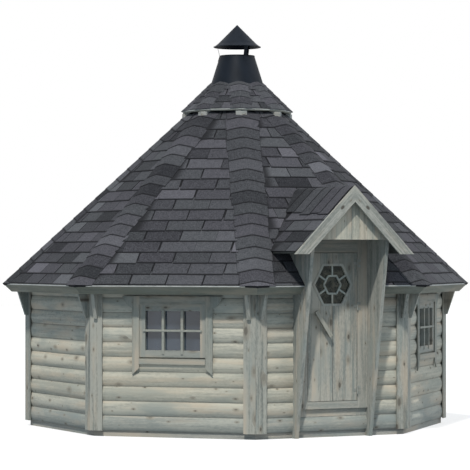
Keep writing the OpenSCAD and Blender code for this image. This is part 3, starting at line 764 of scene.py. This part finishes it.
porch_rows = np.arange(int(np.ceil((porch_length + EAVE_LAP) / COURSE)))
porch_tabs = np.concatenate([
    lay_tabs(porch_place(side), porch_rows, valley, verge, lap=PORCH_LAP, top=porch_length,
             shift=PORCH_SHIFT)
    for side in (-1, 1)
])
tubes("porch_shingles", porch_tabs, felt_grit, "cabin", "roof_covering",
      tone=tab_tones(len(porch_tabs))[:, None, None], edge=TAB_EDGE_AND_SHADE)
porch_sheets = [felt_sheet(porch_place(side), 0.0, porch_length, valley, verge) for side in (-1, 1)]
# Under felt in the darkest tone and edge colour: painted shade in the slots between tabs
tubes("porch_felt", np.array(porch_sheets), felt_grit, "cabin", "roof_covering", tone=0.0, edge=1.0)

ridge_end = ROOF_TOP - PORCH_RIDGE
RIDGE_STEP = 0.205
RIDGE_HALF = 0.42
RIDGE_SET = 0.006
ridge_count = int((PORCH_FRONT - ridge_end) / RIDGE_STEP)
slant = np.sqrt(0.5)
ridge_start = (0, RIDGE_SET - PORCH_FRONT, PORCH_RIDGE)
ridge_caps = caps(ridge_start, (0, 1, 0), (slant, 0, -slant), (-slant, 0, -slant),
                  0.0, ridge_count * RIDGE_STEP + CAP_LAP, RIDGE_STEP, RIDGE_HALF)
tubes("ridge_caps", ridge_caps, felt_grit, "cabin", "roof_covering",
      tone=tab_tones(len(ridge_caps))[:, None, None], edge=CAP_EDGE_AND_SHADE)


# Vent hat shingles
# The hat sits on blocks above the smoke hole. A thin drip strip runs all round its eave, and narrower
# rows of tabs with small, thin caps run up to the foot of the smoke stack.

HAT_BOARD = 0.024
HAT_COURSE = 0.108
HAT_TAB = 0.28
HAT_LIFT = 0.0025
HAT_CAP = 0.13
HAT_CAP_THICK = 0.004
# Weaker edge marks on the hat: raw dark edges and painted shade
HAT_EDGE_AND_SHADE = 0.4
HAT_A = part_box("vent_hat")[1].x
HAT_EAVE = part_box("vent_hat")[0].z + HAT_BOARD * np.cos(ROOF_PITCH)
HAT_NECK = 0.29
HAT_HIP = 0.49
hat_length = (HAT_A - HAT_NECK) / np.cos(ROOF_PITCH)
hat_rows = np.arange(int(np.ceil(hat_length / HAT_COURSE)))
hat_tabs = np.concatenate([
    facet_tabs(turn, HAT_A, HAT_EAVE, hat_rows, cap=HAT_CAP, tab=HAT_TAB, course=HAT_COURSE,
               top=hat_length, lift=HAT_LIFT)
    for turn in WALL_TURNS
])
tubes("hat_shingles", hat_tabs, felt_grit, "cabin", "roof_covering",
      tone=tab_tones(len(hat_tabs))[:, None, None], edge=TAB_EDGE_AND_SHADE * HAT_EDGE_AND_SHADE)
hat_half = HAT_A * np.tan(WALL_TURN / 2)
HAT_DRIP_S = np.array([-0.007, 0.001, 0.0035, 0.0035, 0.0005, -0.005])
HAT_DRIP_H = np.array([-0.001, 0.007, 0.0045, 0.0005, 0.0005, -0.003])
hat_drips = [
    [on_slope(turn, HAT_A, HAT_EAVE, x, HAT_DRIP_S, HAT_DRIP_H) for x in (-hat_half, hat_half)]
    for turn in WALL_TURNS
]
tubes("hat_drip_strips", np.array(hat_drips), drip_paint, "cabin", "hinge_steel")
hat_sheets = [facet_sheet(turn, HAT_A, HAT_EAVE, HAT_A, HAT_NECK) for turn in WALL_TURNS]
# Under felt in the darkest tone and edge colour: painted shade in the slots between tabs
tubes("hat_felt", np.array(hat_sheets), felt_grit, "cabin", "roof_covering", tone=0.0, edge=1.0)
hat_caps = np.concatenate([
    hip_caps(turn + WALL_TURN / 2, HAT_A, HAT_EAVE, 0.0, HAT_HIP, HAT_COURSE, HAT_CAP,
             fold=0.0, lift=HAT_LIFT, thick=HAT_CAP_THICK)
    for turn in WALL_TURNS
])
tubes("hat_caps", hat_caps, felt_grit, "cabin", "roof_covering",
      tone=tab_tones(len(hat_caps))[:, None, None], edge=CAP_EDGE_AND_SHADE * HAT_EDGE_AND_SHADE)


# Smoke stack and cowl
# The stack is a cone of steel sheet with a wired rim, painted satin blue black. Three straps riveted
# to it carry the cowl, a flat cone with a steeper brim.

dark_paint = plain_steel("stack paint", tint(19, 26, 35), 0.5, 0.0)
dress(dark_paint, "chimney_stack", "cowl_straps", "chimney_cowl")


def rims(radius, height, thick):
    """A wired edge: a round section of ten points swept once round the middle in 72 steps."""
    angle = np.linspace(0, 2 * np.pi, 72, endpoint=False)[:, None]
    section = np.linspace(0, 2 * np.pi, 10, endpoint=False)
    reach = radius + thick * np.cos(section)
    z = height + thick * np.sin(section) + 0 * angle
    return np.stack([reach * np.cos(angle), reach * np.sin(angle), z], axis=-1)


stack_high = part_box("chimney_stack")[1]
cowl_low, cowl_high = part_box("chimney_cowl")
STACK_NECK = 0.203
WIRE = 0.005
COWL_WIRE_RISE = 0.002
rings = np.array([
    rims(STACK_NECK, stack_high.z, WIRE), rims(cowl_high.x, cowl_low.z + COWL_WIRE_RISE, WIRE),
])
tubes("wired_rims", rings, dark_paint, "cabin", "dark_metal", closed=True, smooth=True)


# Floor, light and camera
# A pale studio floor under a soft sun from the front left and an even pale sky. The camera stands far
# off at eye height, level, with its view shifted like a building photograph.

floor_mesh = bpy.data.meshes.new("studio floor")
FLOOR_HALF = 60.0
floor_corners = [(FLOOR_HALF * x, FLOOR_HALF * y, 0) for x, y in ((-1, -1), (1, -1), (1, 1), (-1, 1))]
floor_mesh.from_pydata(floor_corners, [], [(0, 1, 2, 3)])
floor_paint, floor_shader, _ = finish("floor paint")


def seen_ray(tree):
    """1 for what the camera sees, also in glossy surfaces and through glass, and 0 for other light."""
    start = Socket(tree)
    rays = start.node("LightPath", {}, {}, "Is Camera Ray", "Is Glossy Ray", "Is Transmission Ray")
    return start.math("MAXIMUM", start.math("MAXIMUM", rays[0], rays[1]), rays[2])


GROUND_LIGHT, FLOOR_COLOUR = (0.33, 0.36, 0.39, 1.0), (0.22, 0.22, 0.22, 1.0)
NO_GLOW, FLOOR_GLOW = (0.0, 0.0, 0.0, 1.0), (0.74, 0.74, 0.74, 1.0)
floor_seen = seen_ray(floor_paint.node_tree)
floor_seen.blend(GROUND_LIGHT, FLOOR_COLOUR).feed(floor_shader, "Base Color")
floor_seen.blend(NO_GLOW, FLOOR_GLOW).feed(floor_shader, "Emission Color")
floor_shader.inputs["Emission Strength"].default_value = 1.0
floor_shader.inputs["Roughness"].default_value = 1.0
floor_mesh.materials.append(floor_paint)
studio_floor = bpy.data.objects.new("studio floor", floor_mesh)
bpy.context.scene.collection.objects.link(studio_floor)

scene = bpy.context.scene
scene.view_settings.view_transform = "Standard"
world = bpy.data.worlds.new("studio")
world.use_nodes = True
scene.world = world
sky = world.node_tree.nodes["Background"]
SKY_LIGHT, SKY_COLOUR = (0.29, 0.39, 0.485, 1.0), (1.0, 1.0, 1.0, 1.0)
seen_ray(world.node_tree).blend(SKY_LIGHT, SKY_COLOUR).feed(sky, "Color")
sky.inputs["Strength"].default_value = 1.0

sun_light = bpy.data.lights.new("sun", "SUN")
sun_light.energy = 3.3
sun_light.angle = 0.05
sun_light.color = (1.0, 0.97, 0.92)
sun = bpy.data.objects.new("sun", sun_light)
sun.rotation_euler = (np.radians(35.5), 0.0, np.radians(-38.5))
scene.collection.objects.link(sun)

fill_light = bpy.data.lights.new("fill", "SUN")
fill_light.energy = 0.9
fill_light.angle = 1.2
fill = bpy.data.objects.new("fill", fill_light)
fill.rotation_euler = (np.radians(62), 0.0, np.radians(58))
scene.collection.objects.link(fill)

CAMERA_PLACE = np.array([-12.563, -24.589, 1.9653])
view = bpy.data.cameras.new("view")
view.sensor_width = 36.0
view.lens = 180.1
view.shift_x, view.shift_y = -0.0046, 0.0457
camera = bpy.data.objects.new("view", view)
camera.location = CAMERA_PLACE
camera.rotation_euler = (np.pi / 2, 0.0, np.arctan2(CAMERA_PLACE[0], -CAMERA_PLACE[1]))
scene.collection.objects.link(camera)
scene.camera = camera
